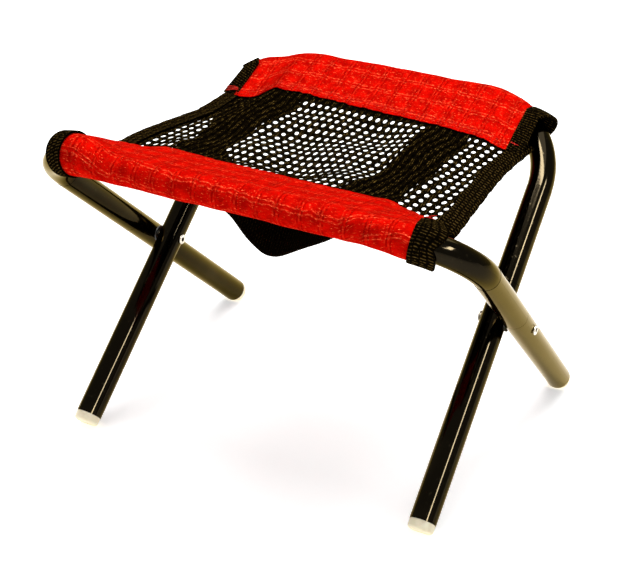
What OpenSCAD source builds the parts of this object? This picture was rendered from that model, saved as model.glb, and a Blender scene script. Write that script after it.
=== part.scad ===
// Folding camp stool: two nested bent-tube frames that cross on one pivot axis, with a sling seat of
// net hung between two sewn sleeves. Origin on the floor under the pivot axis, +X to the right,
// +Y to the back, +Z up, modelled open.

/* [Frame] */
// Outside diameter of the frame tubes
tube_od = 19; // [16:0.5:22]
// Wall of the frame tubes
tube_wall = 1.2; // [0.8:0.1:1.6]
// Pivot axis to the axis of a seat bar, along a frame
arm_len = 166.5; // [150:0.5:200]
// Pivot axis to the cut end of a leg, along a frame
leg_len = 151.4; // [130:0.2:190]
// Lean of both frames from upright when open
lean = 48.2; // [42:0.1:52]
// Half the width between the inner frame's leg axes, at the pivot
inner_half_w = 134.5; // [125:0.5:160]
// Gap between the two frames' tubes at the pivot
frame_gap = 2; // [1.6:0.1:4]
// Splay of the inner frame's legs, wider at the feet
inner_toe = 1; // [0:0.1:2]
// Splay of the outer frame's legs, narrower at the feet
outer_toe = 2.8; // [0:0.1:3.5]
// Bend radius of the outer frame
outer_bend_r = 45; // [36:1:60]
// Bend radius of the inner frame
inner_bend_r = 65; // [45:1:75]
// How much a tube draws down in its bends
bend_draw = 0.15; // [0.1:0.01:0.2]
// Pivot axis to the joint where the lower legs plug in
seam_rise = 28; // [20:1:40]
// Length of the necked spigot on each lower leg
spigot_len = 22; // [15:1:35]
// Groove left at the joint
seam_gap = 0.4; // [0.2:0.1:1]

/* [Pivot] */
// Shank diameter of the tubular rivets
rivet_d = 5; // [4:0.5:6]
// Wall of the tubular rivets
rivet_wall = 0.8; // [0.6:0.1:1.2]
// Diameter of the rolled rivet heads
rivet_head_d = 7.6; // [7:0.1:10]
// Height of the rolled rivet heads
rivet_head_h = 1; // [0.6:0.1:1.5]
// Diameter of the spacer between the legs
spacer_d = 13; // [11:0.5:14]

/* [Feet] */
// How far a foot plug stands out of its tube
foot_cap_h = 6.5; // [5:0.5:9]
// Length of a foot plug's stem in its tube
foot_stem_len = 18; // [12:1:30]
// Wall of a foot plug's hollow stem
foot_stem_wall = 2; // [1.5:0.1:3]
// Step from the tube's outside in to the foot cap
foot_step = 0.3; // [0.1:0.1:0.8]
// Rounding of the foot cap's edge
foot_round = 2.5; // [1:0.5:4]
// Height of the tube's lowest edge above the floor
foot_lift = 0.9; // [0.5:0.1:1.5]

/* [Seat] */
// Slope of the front flap, down from its bar
front_flap_slope = 14.5; // [10:0.5:18]
// Slope of the rear flap, down from its bar
rear_flap_slope = 23.5; // [15:0.5:25]
// Depth of the seat's middle under the bars' axes
seat_sag = 11; // [9:0.5:16]
// Half the seat's width at the front bar
front_half_w = 142; // [136:1:144]
// Half the seat's width at the middle
mid_half_w = 132; // [128:1:136]
// Half the seat's width at the rear bar
rear_half_w = 126; // [122:1:128]
// Thickness of the sleeve cloth
cloth_t = 0.9; // [0.6:0.1:1.2]
// Bend angle that the front sleeve covers
front_sleeve_turn = 15; // [8:1:20]
// Bend angle that the rear sleeve covers
rear_sleeve_turn = 35; // [20:1:40]
// Bend angle that a front webbing loop covers
front_loop_turn = 30; // [20:1:40]
// Bend angle that a rear webbing loop covers
rear_loop_turn = 32; // [20:1:40]
// Bend angle by which a loop laps its sleeve
loop_lap_turn = 3; // [2:0.5:5]
// Reach of a sleeve's flap over the seat
flap_len = 48; // [40:1:56]
// Gap between a flap's side and the edge tape
flap_inset = 1.5; // [1:0.5:6]
// Seam by which net and tapes lap under a flap
seam_lap = 24; // [16:1:28]
// Thickness of the net
net_t = 1; // [0.8:0.1:1.4]
// Spacing of the net's gaps
net_pitch = 11.5; // [11.5:0.1:14]
// Width of a net gap across its corners
net_gap = 8; // [6:0.2:9]
// Plain hem round the net's gaps
net_hem = 6; // [4:0.5:8]

/* [Webbing] */
// Thickness of the webbing
web_t = 1.3; // [1:0.1:1.6]
// Width of the edge tape
tape_w = 20; // [16:0.5:24]
// How far an edge tape runs past the net, under a flap
tape_over = 3; // [1:0.5:6]
// Width of a support strap under the net
strap_w = 40; // [30:1:44]
// Middle of the seat to the middle of a support strap
strap_x = 74; // [73:1:78]
// Width of the carry strap
carry_w = 30; // [25:1:38]
// Half the width inside the carry loop
carry_half_w = 40; // [30:1:40]
// How far the carry loop hangs
carry_drop = 64; // [55:1:75]
// Length of each sewn end of the carry strap
carry_tab = 8; // [5:0.5:10]
// Flap's edge to the carry strap
carry_set = 16; // [0:0.5:24]

/* [Clearances] */
// Radial play of the rivets in their bores
rivet_play = 0.05; // [0.02:0.01:0.1]
// Play between turning faces at the pivot
face_play = 0.3; // [0.2:0.05:0.4]
// Radial play of plugs and spigots in the tubes
plug_play = 0.1; // [0.05:0.05:0.2]
// Play of a sleeve on its tube
sleeve_play = 0.3; // [0.2:0.05:0.5]
// Gap between sewn layers
layer_gap = 0.1; // [0.05:0.05:0.2]
// Gap between the net's line and its bar
bar_play = 0.5; // [0.4:0.1:1]
// Gap between the seat's halves at the middle
mid_gap = 0.9; // [0.6:0.1:2]

/* [Hidden] */
$fn = 64;
tube_r = tube_od / 2;
bore_r = tube_r - tube_wall;
outer_half_w = inner_half_w + tube_od + frame_gap;
tube_end_z = tube_r * sin(lean) + foot_lift;
pivot_z = tube_end_z + leg_len * cos(lean);
bar_y = arm_len * sin(lean);
bar_z = pivot_z + arm_len * cos(lean);
// Toe of each frame's legs, out from the pivot up to the bar
outer_rise = outer_toe;
inner_rise = -inner_toe;
sleeve_r = tube_r + sleeve_play + cloth_t;
loop_r = sleeve_r + layer_gap;
// Bar axis to the end of a seat half
half_len = bar_y - mid_gap / 2;
// Height of the flaps and tapes over the net's underside
top_h = net_t + layer_gap;
tape_start = seam_lap - tape_over;
// Short run by which a straight laps into its bend, and the reach of a through cut
bend_lap = 0.3;
cut = 1;

// Half the width between the leg axes, carried up to the bar
function corner_w(half_w, rise) = half_w + arm_len * tan(rise);
// Length that a bend takes off each of the two straights it joins
function bend_set(bend_r, rise) = bend_r * tan((90 + rise) / 2);
// Half the straight length of a seat bar
function bar_half(half_w, rise, bend_r) = corner_w(half_w, rise) - bend_set(bend_r, rise);

// Placement: a frame's own plane, with the pivot axis along X and the bar at the top
module outer_plane() { translate([0, 0, pivot_z]) rotate([lean, 0, 0]) children(); }
module inner_plane() { translate([0, 0, pivot_z]) rotate([-lean, 0, 0]) children(); }
// Placement: the axis of a frame's right leg, from the pivot up
module leg_axis(half_w, rise) { translate([half_w, 0, 0]) rotate([0, rise, 0]) children(); }
// Placement: a seat half, with its bar's axis along X, the seat reaching to +Y and its layers up +Z
module front_half() { translate([0, -bar_y, bar_z]) children(); }
module rear_half() { mirror([0, 1, 0]) front_half() children(); }
module left() { mirror([1, 0, 0]) children(); }

// A profile swept round part of a frame's right bend, from one bend angle to another
module bend_sweep(half_w, rise, bend_r, from, to) {
    translate([bar_half(half_w, rise, bend_r), 0, arm_len - bend_r])
        rotate([90, 0, 0]) rotate([0, 0, 90 - to])
            rotate_extrude(angle = to - from) translate([bend_r, 0]) children();
}

// A round bar along a seat bar and both its bends, up to a bend angle
module bar_path(half_w, rise, bend_r, r, turn) {
    straight = bar_half(half_w, rise, bend_r) + bend_lap;
    translate([-straight, 0, arm_len]) rotate([0, 90, 0]) cylinder(r = r, h = 2 * straight);
    for (side = [0, 1]) mirror([side, 0, 0])
        bend_sweep(half_w, rise, bend_r, 0, turn) circle(r = r - bend_draw);
}

// A round bar that follows a whole frame: seat bar, bends and upper legs
module frame_path(half_w, rise, bend_r, r, reach) {
    leg_top = arm_len / cos(rise) - bend_set(bend_r, rise) + bend_lap;
    bar_path(half_w, rise, bend_r, r, 90 + rise);
    for (side = [0, 1]) mirror([side, 0, 0])
        leg_axis(half_w, rise) translate([0, 0, seam_rise - reach])
            cylinder(r = r, h = leg_top - seam_rise + reach);
}

module top_tube(half_w, rise, bend_r) {
    difference() {
        frame_path(half_w, rise, bend_r, tube_r, 0);
        frame_path(half_w, rise, bend_r, bore_r, cut);
    }
}

// Right lower leg: a tube necked to a spigot at the top and bored for the pivot rivet
module lower_leg(half_w, rise) {
    foot_end = leg_len / cos(rise);
    spigot_r = bore_r - plug_play;
    shoulder = seam_rise - seam_gap;
    difference() {
        leg_axis(half_w, rise) difference() {
            union() {
                translate([0, 0, -foot_end]) cylinder(r = tube_r, h = foot_end + shoulder);
                translate([0, 0, shoulder - cut]) cylinder(r = spigot_r, h = spigot_len + cut);
            }
            translate([0, 0, -foot_end - cut])
                cylinder(r = bore_r, h = foot_end + shoulder - 2 * tube_wall + cut);
            translate([0, 0, -foot_end])
                cylinder(r = spigot_r - tube_wall, h = foot_end + shoulder + spigot_len + cut);
        }
        translate([half_w - tube_od, 0, 0]) rotate([0, 90, 0])
            cylinder(d = rivet_d + 2 * rivet_play, h = 2 * tube_od);
    }
}

// Right foot plug: hollow stem and a rounded cap, before the floor cuts it flat
module foot_plug(half_w, rise) {
    cap_r = tube_r - foot_step;
    stem_r = bore_r - plug_play;
    leg_axis(half_w, rise) translate([0, 0, -leg_len / cos(rise)]) {
        rotate_extrude() {
            difference() {
                translate([0, -foot_cap_h]) square([cap_r, foot_cap_h]);
                translate([cap_r - foot_round, -foot_cap_h - cut])
                    square([foot_round + cut, foot_round + cut]);
            }
            intersection() {
                translate([cap_r - foot_round, foot_round - foot_cap_h]) circle(r = foot_round);
                translate([0, -foot_cap_h]) square([cap_r, foot_cap_h]);
            }
            translate([stem_r - foot_stem_wall, -cut]) square([foot_stem_wall, foot_stem_len + cut]);
        }
    }
}

module floor_cut() {
    span = 4 * arm_len;
    difference() {
        children();
        translate([-span / 2, -span / 2, -span]) cube(span);
    }
}

// Right pivot rivet: a tube with a rolled head at each end
module pivot_rivet() {
    start = inner_half_w - tube_r - face_play;
    finish = outer_half_w + tube_r + face_play;
    shank_r = rivet_d / 2;
    roll = rivet_head_h / 2;
    head_r = rivet_head_d / 2;
    translate([0, 0, pivot_z]) rotate([0, 90, 0]) rotate_extrude() {
        translate([shank_r - rivet_wall, start - rivet_head_h])
            square([rivet_wall, finish - start + 2 * rivet_head_h]);
        for (z = [start - roll, finish + roll]) {
            translate([shank_r - rivet_wall, z - roll])
                square([head_r - shank_r + rivet_wall - roll, rivet_head_h]);
            translate([head_r - roll, z]) circle(r = roll);
        }
    }
}

// Right spacer between the two legs on the rivet
module pivot_spacer() {
    tilt = spacer_d / 2 * tan(outer_toe);
    start = inner_half_w + tube_r + face_play;
    thick = frame_gap - 2 * face_play - tilt;
    translate([start, 0, pivot_z]) rotate([0, 90, 0]) difference() {
        cylinder(d = spacer_d, h = thick);
        translate([0, 0, -cut]) cylinder(d = rivet_d + 2 * rivet_play, h = thick + 2 * cut);
    }
}

// Cloth sleeve along a seat bar and part of both bends
module sleeve(half_w, rise, bend_r, turn) {
    difference() {
        bar_path(half_w, rise, bend_r, sleeve_r, turn);
        bar_path(half_w, rise, bend_r, sleeve_r - cloth_t, turn + 2 * cut);
    }
}

// Right webbing loop that binds a sleeve's end
module loop(half_w, rise, bend_r, from, turn) {
    bend_sweep(half_w, rise, bend_r, from, from + turn) difference() {
        circle(r = loop_r + web_t);
        circle(r = loop_r);
    }
}

// Half the seat's width at a distance from its bar
function seat_w(end_w, d) = end_w + (mid_half_w - end_w) * d / half_len;
// Half the width of a flap, between the edge tapes
function flap_w(end_w) = min(seat_w(end_w, tape_start), seat_w(end_w, flap_len)) - tape_w - flap_inset;
// Height of the net's underside over its bar's axis, down the flap
function slope_z(slope, d) = (tube_r + bar_play) / cos(slope) - d * tan(slope);
// Fall of the net for each step from the flap's edge to the middle
function net_fall(slope) = (slope_z(slope, flap_len) + seat_sag) / (half_len - flap_len);
// Height of the net's underside over its bar's axis, anywhere
function seat_z(slope, d) = slope_z(slope, min(d, flap_len)) - max(d - flap_len, 0) * net_fall(slope);

// Outline of a seat half between two distances from its bar, less a margin at each side
module seat_outline(end_w, from, to, margin) {
    near = seat_w(end_w, from) - margin;
    far = seat_w(end_w, to) - margin;
    polygon([[-near, from], [near, from], [far, to], [-far, to]]);
}

// A layer of the seat between two distances from its bar and two heights over the net's underside
module layer(slope, half_w, from, to, low, high) {
    bent = from < flap_len && flap_len < to;
    stops = bent ? [from, flap_len, to] : [from, to];
    under = [for (d = stops) [d, seat_z(slope, d) + low]];
    over = [for (i = [len(stops) - 1 : -1 : 0]) [stops[i], seat_z(slope, stops[i]) + high]];
    rotate([90, 0, 90]) linear_extrude(2 * half_w, center = true) polygon(concat(under, over));
}

module flap(slope, end_w) { layer(slope, flap_w(end_w), 0, flap_len, top_h, top_h + cloth_t); }

// Net of staggered six-sided gaps with a plain hem
module net(slope, end_w) {
    row = net_pitch * sin(60);
    first = flap_len + net_hem;
    last = half_len - net_hem;
    rows = floor((last - first - net_gap) / row);
    intersection() {
        layer(slope, end_w + mid_half_w, seam_lap, half_len, 0, net_t);
        linear_extrude(2 * half_len, center = true) difference() {
            seat_outline(end_w, seam_lap, half_len, 0);
            for (j = [0 : rows]) {
                d = first + net_gap / 2 + j * row;
                room = seat_w(end_w, d) - tape_w - net_gap / 2;
                shift = j % 2 * net_pitch / 2;
                count = floor((room - shift) / net_pitch);
                for (i = [-count - j % 2 : count])
                    translate([i * net_pitch + shift, d]) circle(d = net_gap, $fn = 6);
            }
        }
    }
}

// Right support strap under the net
module strap(slope) {
    translate([strap_x, 0, 0]) layer(slope, strap_w / 2, seam_lap, half_len, -layer_gap - web_t, -layer_gap);
}

// Right edge tape on top of the net
module tape(slope, end_w) {
    intersection() {
        layer(slope, end_w + mid_half_w, tape_start, half_len, top_h, top_h + web_t);
        linear_extrude(2 * half_len, center = true) difference() {
            seat_outline(end_w, tape_start, half_len, 0);
            seat_outline(end_w, tape_start - cut, half_len + cut, tape_w);
            translate([-2 * end_w, 0]) square([2 * end_w, 2 * half_len]);
        }
    }
}

// Carry strap: a webbing loop that hangs from two ends sewn under the net
module carry(slope) {
    out_r = carry_half_w + web_t;
    arc_z = out_r - carry_drop;
    start = flap_len + carry_set;
    translate([0, start, seat_z(slope, start) - layer_gap]) rotate([-atan(net_fall(slope)), 0, 0])
        translate([0, carry_w, 0]) rotate([90, 0, 0]) linear_extrude(carry_w) {
            translate([0, arc_z]) difference() {
                circle(r = out_r);
                circle(r = carry_half_w);
                translate([-2 * out_r, 0]) square(4 * out_r);
            }
            for (side = [0, 1]) mirror([side, 0]) {
                translate([carry_half_w, arc_z]) square([web_t, -arc_z]);
                translate([carry_half_w, -web_t]) square([web_t + carry_tab, web_t]);
            }
        }
}

module outer_top_tube() {
    color("#1c1a18") outer_plane() top_tube(outer_half_w, outer_rise, outer_bend_r);
}
module inner_top_tube() {
    color("#1c1a18") inner_plane() top_tube(inner_half_w, inner_rise, inner_bend_r);
}
module outer_leg_right() { color("#211f1c") outer_plane() lower_leg(outer_half_w, outer_rise); }
module outer_leg_left() { left() outer_leg_right(); }
module inner_leg_right() { color("#211f1c") inner_plane() lower_leg(inner_half_w, inner_rise); }
module inner_leg_left() { left() inner_leg_right(); }
module outer_foot_right() {
    color("#efe6cf") floor_cut() outer_plane() foot_plug(outer_half_w, outer_rise);
}
module outer_foot_left() { left() outer_foot_right(); }
module inner_foot_right() {
    color("#efe6cf") floor_cut() inner_plane() foot_plug(inner_half_w, inner_rise);
}
module inner_foot_left() { left() inner_foot_right(); }
module pivot_rivet_right() { color("#d8cfbd") pivot_rivet(); }
module pivot_rivet_left() { left() pivot_rivet_right(); }
module pivot_spacer_right() { color("#e8e4da") pivot_spacer(); }
module pivot_spacer_left() { left() pivot_spacer_right(); }
module front_sleeve() {
    color("#e01408") outer_plane() sleeve(outer_half_w, outer_rise, outer_bend_r, front_sleeve_turn);
}
module rear_sleeve() {
    color("#e01408") inner_plane() sleeve(inner_half_w, inner_rise, inner_bend_r, rear_sleeve_turn);
}
module front_loop_right() {
    color("#141210") outer_plane()
        loop(outer_half_w, outer_rise, outer_bend_r, front_sleeve_turn - loop_lap_turn, front_loop_turn);
}
module front_loop_left() { left() front_loop_right(); }
module rear_loop_right() {
    color("#141210") inner_plane()
        loop(inner_half_w, inner_rise, inner_bend_r, rear_sleeve_turn - loop_lap_turn, rear_loop_turn);
}
module rear_loop_left() { left() rear_loop_right(); }
module front_flap() { color("#e01408") front_half() flap(front_flap_slope, front_half_w); }
module rear_flap() { color("#e01408") rear_half() flap(rear_flap_slope, rear_half_w); }
module front_net() { color("#2a2418") front_half() net(front_flap_slope, front_half_w); }
module rear_net() { color("#2a2418") rear_half() net(rear_flap_slope, rear_half_w); }
module front_strap_right() { color("#181510") front_half() strap(front_flap_slope); }
module front_strap_left() { left() front_strap_right(); }
module rear_strap_right() { color("#181510") rear_half() strap(rear_flap_slope); }
module rear_strap_left() { left() rear_strap_right(); }
module front_tape_right() { color("#141210") front_half() tape(front_flap_slope, front_half_w); }
module front_tape_left() { left() front_tape_right(); }
module rear_tape_right() { color("#141210") rear_half() tape(rear_flap_slope, rear_half_w); }
module rear_tape_left() { left() rear_tape_right(); }
module carry_strap() { color("#0e0c0a") front_half() carry(front_flap_slope); }

outer_top_tube();
outer_leg_left();
outer_leg_right();
inner_top_tube();
inner_leg_left();
inner_leg_right();
outer_foot_left();
outer_foot_right();
inner_foot_left();
inner_foot_right();
pivot_rivet_left();
pivot_rivet_right();
pivot_spacer_left();
pivot_spacer_right();
front_sleeve();
rear_sleeve();
front_loop_left();
front_loop_right();
rear_loop_left();
rear_loop_right();
front_flap();
rear_flap();
front_net();
rear_net();
front_strap_left();
front_strap_right();
rear_strap_left();
rear_strap_right();
front_tape_left();
front_tape_right();
rear_tape_left();
rear_tape_right();
carry_strap();
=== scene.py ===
"""Looks of a folding camp stool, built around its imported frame.

Sizes and places are in millimetres and become metres where a mesh is made. +X runs along the seat bars,
+Y to the back and +Z up, with the stool open.
"""

import logging
import math
from dataclasses import dataclass
from enum import Enum
from typing import Any, Callable, Sequence, Union

import bpy
import numpy as np
from mathutils import Matrix, Vector


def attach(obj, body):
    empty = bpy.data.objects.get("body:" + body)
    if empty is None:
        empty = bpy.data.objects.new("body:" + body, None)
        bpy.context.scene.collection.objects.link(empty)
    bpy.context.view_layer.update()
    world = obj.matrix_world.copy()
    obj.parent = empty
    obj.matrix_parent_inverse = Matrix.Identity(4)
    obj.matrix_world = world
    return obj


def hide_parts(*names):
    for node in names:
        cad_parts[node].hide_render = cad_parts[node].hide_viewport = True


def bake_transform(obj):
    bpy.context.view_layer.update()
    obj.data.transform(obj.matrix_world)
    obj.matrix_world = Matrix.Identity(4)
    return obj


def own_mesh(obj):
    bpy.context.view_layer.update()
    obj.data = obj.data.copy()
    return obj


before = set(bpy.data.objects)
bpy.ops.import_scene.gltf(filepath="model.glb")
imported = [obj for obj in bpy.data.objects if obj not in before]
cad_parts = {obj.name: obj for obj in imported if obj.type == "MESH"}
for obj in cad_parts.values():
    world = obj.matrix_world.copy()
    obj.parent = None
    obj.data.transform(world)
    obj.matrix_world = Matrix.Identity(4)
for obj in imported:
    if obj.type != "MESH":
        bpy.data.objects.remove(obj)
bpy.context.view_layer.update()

LOG = logging.getLogger("camp_stool")
MM = 0.001
CLOTH_MAP = "cloth"

Array = np.ndarray
Colour = tuple[float, float, float, float]
Point = tuple[float, float, float]
Outline = tuple[tuple[float, float], ...]


class Body(str, Enum):
    """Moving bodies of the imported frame."""

    OUTER = "outer_frame"
    INNER = "inner_frame"
    SEAT_FRONT = "seat_front"
    SEAT_REAR = "seat_rear"


class Slot(str, Enum):
    """Material slots of the cloth, as in the part's record."""

    RED = "red_cloth"
    NET = "black_net"
    WEBBING = "black_webbing"


class Held(str, Enum):
    """How a sheet of cloth is held."""

    STRETCHED = "stretched"
    FOLDED = "folded"
    HUNG = "hung"


class Side(int, Enum):
    """Left or right half of the stool, as the sign of X."""

    LEFT = -1
    RIGHT = 1

    @property
    def label(self) -> str:
        """The side as in the names of pieces."""
        return self.name.lower()

    @classmethod
    def of(cls, place: float) -> "Side":
        """The side that a place across the stool lies on."""
        return cls.RIGHT if place > 0 else cls.LEFT


class End(int, Enum):
    """Front or rear half of the stool, as the sign of Y."""

    FRONT = -1
    REAR = 1

    @property
    def label(self) -> str:
        """The end as in the names of pieces."""
        return self.name.lower()

    @property
    def tube(self) -> str:
        """Node of the seat bar at this end."""
        return "outer_top_tube" if self is End.FRONT else "inner_top_tube"

    @property
    def body(self) -> Body:
        """The half of the seat at this end."""
        return Body.SEAT_FRONT if self is End.FRONT else Body.SEAT_REAR


# Shader graphs

Value = Union["Signal", float]


class Signal:
    """A shader socket that takes part in Python arithmetic; each operator adds one Math node."""

    def __init__(self, graph: "Graph", socket: bpy.types.NodeSocket) -> None:
        """Keeps the socket and the graph that it belongs to."""
        self.graph = graph
        self.socket = socket

    def __add__(self, other: Value) -> "Signal":
        """The sum of both."""
        return self.graph.math("ADD", self, other)

    __radd__ = __add__

    def __sub__(self, other: Value) -> "Signal":
        """This less the other."""
        return self.graph.math("SUBTRACT", self, other)

    def __rsub__(self, other: Value) -> "Signal":
        """The other less this."""
        return self.graph.math("SUBTRACT", other, self)

    def __mul__(self, other: Value) -> "Signal":
        """The product of both."""
        return self.graph.math("MULTIPLY", self, other)

    __rmul__ = __mul__

    def __truediv__(self, other: Value) -> "Signal":
        """This over the other."""
        return self.graph.math("DIVIDE", self, other)

    def __gt__(self, other: Value) -> "Signal":
        """One where this is above the other, else zero."""
        return self.graph.math("GREATER_THAN", self, other)

    def fract(self) -> "Signal":
        """The part after the decimal point."""
        return self.graph.math("FRACT", self)

    def sine(self) -> "Signal":
        """The sine of this, in radians."""
        return self.graph.math("SINE", self)

    def size(self) -> "Signal":
        """The value without its sign."""
        return self.graph.math("ABSOLUTE", self)

    def most(self, other: Value) -> "Signal":
        """The larger of both."""
        return self.graph.math("MAXIMUM", self, other)

    def step(self, low: float, high: float) -> "Signal":
        """A smooth step from 0 at low to 1 at high.

        Args:
            low: Value at and below which the step is 0.
            high: Value at and above which the step is 1.

        Returns:
            The step as a signal.
        """
        values = {"Value": self, "From Min": low, "From Max": high}
        return self.graph.node("ShaderNodeMapRange", {"interpolation_type": "SMOOTHSTEP"}, values)


class Graph:
    """One material: a Principled shader and the nodes that feed it."""

    def __init__(self, name: str, constants: dict[str, Any]) -> None:
        """Makes the material.

        Args:
            name: Name of the material.
            constants: Values for the shader's own sockets.
        """
        self.material = bpy.data.materials.new(name)
        self.material.use_nodes = True
        self.tree = self.material.node_tree
        self.shader = self.tree.nodes["Principled BSDF"]
        for socket, value in constants.items():
            self.shader.inputs[socket].default_value = value

    def plug(self, socket: bpy.types.NodeSocket, value: Any) -> None:
        """Links a signal to a socket, or sets a plain value on it.

        Args:
            socket: The socket.
            value: The signal or the value.
        """
        if isinstance(value, Signal):
            self.tree.links.new(value.socket, socket)
        else:
            socket.default_value = value

    def node(
        self, kind: str, settings: dict[str, Any], inputs: dict[Any, Any], output: str | int = 0
    ) -> Signal:
        """Adds a node.

        Args:
            kind: Blender's type name of the node.
            settings: Properties, set first.
            inputs: Values or signals by socket name or number.
            output: Name or number of the socket that is used.

        Returns:
            The node's output as a signal.
        """
        made = self.tree.nodes.new(kind)
        for key, value in settings.items():
            setattr(made, key, value)
        for key, value in inputs.items():
            self.plug(made.inputs[key], value)
        return Signal(self, made.outputs[output])

    def math(self, operation: str, first: Value, second: Value = 0.0) -> Signal:
        """Adds a Math node and gives its result."""
        return self.node("ShaderNodeMath", {"operation": operation}, {0: first, 1: second})

    def mix(self, factor: Value, first: Any, second: Any) -> Signal:
        """Mixes two colours: the first at factor 0, the second at factor 1."""
        return self.node("ShaderNodeMix", {"data_type": "RGBA"}, {0: factor, 6: first, 7: second}, 2)

    def place(self) -> Signal:
        """Coordinates on the piece, in metres."""
        return self.node("ShaderNodeTexCoord", {}, {}, "Object")

    def cloth(self) -> tuple[Signal, Signal]:
        """Coordinates along and across the cloth as it was cut, in millimetres."""
        spot = self.node("ShaderNodeUVMap", {"uv_map": CLOTH_MAP}, {})
        return tuple(self.node("ShaderNodeSeparateXYZ", {}, {0: spot}, axis) / MM for axis in "XY")

    def flat(self, along: Value, across: Value) -> Signal:
        """A vector from two values, for a texture on the cloth."""
        return self.node("ShaderNodeCombineXYZ", {}, {"X": along, "Y": across})

    def noise(self, vector: Signal, scale: float, detail: float = 3.0) -> Signal:
        """Noise from 0 to 1.

        Args:
            vector: Coordinates of the noise.
            scale: Waves per unit of the coordinates.
            detail: Octaves of finer noise.

        Returns:
            The noise as a signal.
        """
        return self.node("ShaderNodeTexNoise", {}, {"Vector": vector, "Scale": scale, "Detail": detail})

    def bump(self, height: Signal, depth: float) -> Signal:
        """A normal from a height of about 0 to 1, with its depth in millimetres."""
        return self.node("ShaderNodeBump", {}, {"Height": height, "Distance": depth * MM, "Strength": 1.0})

    def feed(self, **sockets: Any) -> bpy.types.Material:
        """Feeds signals to the shader; Base_Color stands for the socket Base Color.

        Args:
            **sockets: Signals by socket name, with _ for a space.

        Returns:
            The finished material.
        """
        for name, value in sockets.items():
            self.plug(self.shader.inputs[name.replace("_", " ")], value)
        return self.material


# Finishes


@dataclass(frozen=True)
class TubePaint:
    """Gloss black paint on steel tube, warm in its reflections; its scales are waves per metre."""

    black: Colour = (0.014, 0.011, 0.0065, 1.0)
    dusty: Colour = (0.026, 0.020, 0.011, 1.0)
    edge: Colour = (0.90, 0.77, 0.53, 1.0)
    gloss: float = 0.05
    haze: float = 0.07
    cloud_scale: float = 22.0
    speck_scale: float = 420.0
    grain_scale: float = 900.0
    relief: float = 0.03

    def make(self) -> bpy.types.Material:
        """Makes the paint's material.

        Returns:
            The material.
        """
        graph = Graph("tube_paint", {"Metallic": 1.0, "Specular Tint": self.edge})
        place = graph.place()
        cloud = graph.noise(place, self.cloud_scale)
        grain = graph.noise(place, self.grain_scale, 2.0)
        speck = graph.noise(place, self.speck_scale, 1.0).step(0.66, 0.74)
        colour = graph.mix(cloud.step(0.45, 0.8), self.black, self.dusty)
        return graph.feed(
            Base_Color=graph.mix(speck * 0.6, colour, self.dusty),
            Roughness=self.gloss + cloud * self.haze + speck * 0.15,
            Normal=graph.bump(cloud * 0.5 + grain * 0.25, self.relief),
        )


@dataclass(frozen=True)
class Ripstop:
    """Red ripstop nylon: a fine weave with doubled threads in a grid, with painted glints and painted shade
    in its crumples.
    """

    red: Colour = (0.61, 0.0032, 0.0007, 1.0)
    deep: Colour = (0.225, 0.0009, 0.0003, 1.0)
    lit: Colour = (1.0, 0.125, 0.045, 1.0)
    edge: Colour = (1.0, 0.05, 0.02, 1.0)
    cell: float = 15.5
    pair: float = 2.9
    thread: float = 0.7
    weave: float = 0.55
    sway_along: float = 3.4
    sway_across: float = 2.6
    relief: float = 0.9

    def line(self, along: Signal, offset: float) -> Signal:
        """A thread once in every cell, at an offset from the cell's middle."""
        across = ((along / self.cell + offset / self.cell).fract() - 0.5).size() * self.cell
        return 1.0 - across.step(self.thread * 0.4, self.thread)

    def make(self) -> bpy.types.Material:
        """Makes the cloth's material.

        Returns:
            The material.
        """
        graph = Graph("red_ripstop", {"Specular IOR Level": 0.0, "Specular Tint": self.edge})
        along, across = graph.cloth()
        flat = graph.flat(along, across)
        u = along + graph.noise(flat, 0.05, 2.0) * self.sway_along
        v = across + graph.noise(flat, 0.04, 2.0) * self.sway_across
        half = self.pair / 2
        upright = self.line(u, half).most(self.line(u, -half))
        level = self.line(v, half).most(self.line(v, -half))
        beside = self.line(u, 0.0).most(self.line(u, self.pair))
        turn = 2 * math.pi / self.weave
        threads = (u * turn).sine() * (v * turn).sine()
        streak = graph.noise(graph.flat(along * 0.28, across * 1.6), 0.9, 2.0)
        glint_flecks = graph.noise(graph.flat(along * 0.7, across * 2.4), 0.8, 2.0).step(0.5, 0.62)
        broken = graph.noise(flat, 0.33, 2.0)
        crumple = graph.noise(flat, 0.13)
        # Painted glints: flecks along the level threads and along streaks, painted towards the lit red
        # below; they also raise the metal share and lower roughness.
        shiny = level * broken.step(0.4, 0.55) * (0.2 + glint_flecks * 0.8)
        glint = shiny.most(streak.step(0.56, 0.67) * glint_flecks)
        # pale is a painted highlight beside the upright threads, also painted towards the lit red.
        pale = beside * broken.step(0.45, 0.6) * 0.12
        dark = upright * broken.step(0.42, 0.58) * 0.7
        # Painted shade: the red darkens towards deep in the hollows of the crumple, which the bump below
        # also follows.
        shade = graph.mix(crumple.step(0.28, 0.7) * 0.6 + 0.4, self.deep, self.red)
        shade = graph.mix((glint * 0.8).most(pale), shade, self.lit)
        height = threads * 0.04 + streak * 0.3 + crumple * 0.62
        height = height + level * 0.2 - upright * 0.11 + beside * 0.07
        return graph.feed(
            Base_Color=graph.mix(dark, shade, self.deep),
            Metallic=0.2 + glint * 0.4,
            Roughness=0.42 + crumple * 0.16 - glint * 0.16,
            Normal=graph.bump(height, self.relief),
        )


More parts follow.
